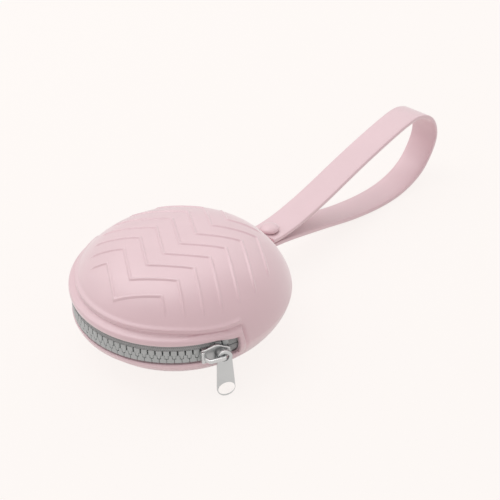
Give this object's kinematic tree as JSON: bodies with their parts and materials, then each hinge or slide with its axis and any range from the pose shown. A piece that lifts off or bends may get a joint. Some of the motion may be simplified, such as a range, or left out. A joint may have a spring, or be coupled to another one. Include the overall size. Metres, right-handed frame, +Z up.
{
  "type": "pacifier case",
  "caption": "Round soft zip case with raised chevrons on its lid, a zip slider with a hanging puller, and a wrist strap that buttons on a peg.",
  "frame": {"origin": "centre of the flat foot that the case stands on", "axes": "+Z up along the round case's own axis, +Y out along the wrist strap, +X towards the end of the zip where it is closed"},
  "size_m": [0.0882, 0.2013, 0.0415],
  "materials": {
    "silicone": "matte pale pink silicone",
    "zip_tape": "woven grey",
    "zip_teeth": "moulded light grey",
    "slider_metal": "polished silver"
  },
  "bodies": {
    "case": {"case_shell": "silicone", "lid_fold": "silicone", "lower_tape": "zip_tape", "lower_teeth": "zip_teeth", "lower_stop": "zip_teeth", "end_stop": "zip_teeth"},
    "lid": {"lid_shell": "silicone", "upper_tape": "zip_tape", "upper_teeth": "zip_teeth", "upper_stop": "zip_teeth"},
    "slider": {"slider_body": "slider_metal", "slider_crown": "slider_metal"},
    "pull": {"pull_tab": "slider_metal"},
    "strap": {"strap_lower_run": "silicone", "strap_peg": "silicone"},
    "strap_end": {"strap_upper_run": "silicone"}
  },
  "joints": [
    {"name": "lid_open", "type": "hinge", "parent": "case", "child": "lid", "pos_m": [0, -0.00985, 0.019], "axis": [-1, 0, 0], "range_deg": [0, 35], "stiffness_Nm_per_rad": 0.02, "deforming": ["lid_fold", "upper_tape", "upper_teeth"]},
    {"name": "slider_travel", "type": "hinge", "parent": "case", "child": "slider", "pos_m": [0, 0, 0.019], "axis": [0, 0, -1], "range_deg": [0, 126], "deforming": ["upper_teeth", "lower_teeth"]},
    {"name": "pull_swing", "type": "hinge", "parent": "slider", "child": "pull", "pos_m": [0.04204, -0.01834, 0.019], "axis": [0.8934, -0.4493, 0], "range_deg": [-44, 120]},
    {"name": "strap_flex", "type": "hinge", "parent": "case", "child": "strap", "pos_m": [0, 0.046, 0.01705], "axis": [1, 0, 0], "range_deg": [0, 50], "stiffness_Nm_per_rad": 0.02},
    {"name": "strap_unsnap", "type": "hinge", "parent": "strap", "child": "strap_end", "pos_m": [-0.0006, 0.1483, 0.03305], "axis": [-1, 0, 0], "range_deg": [0, 70], "stiffness_Nm_per_rad": 0.005, "deforming": ["strap_peg"]}
  ]
}
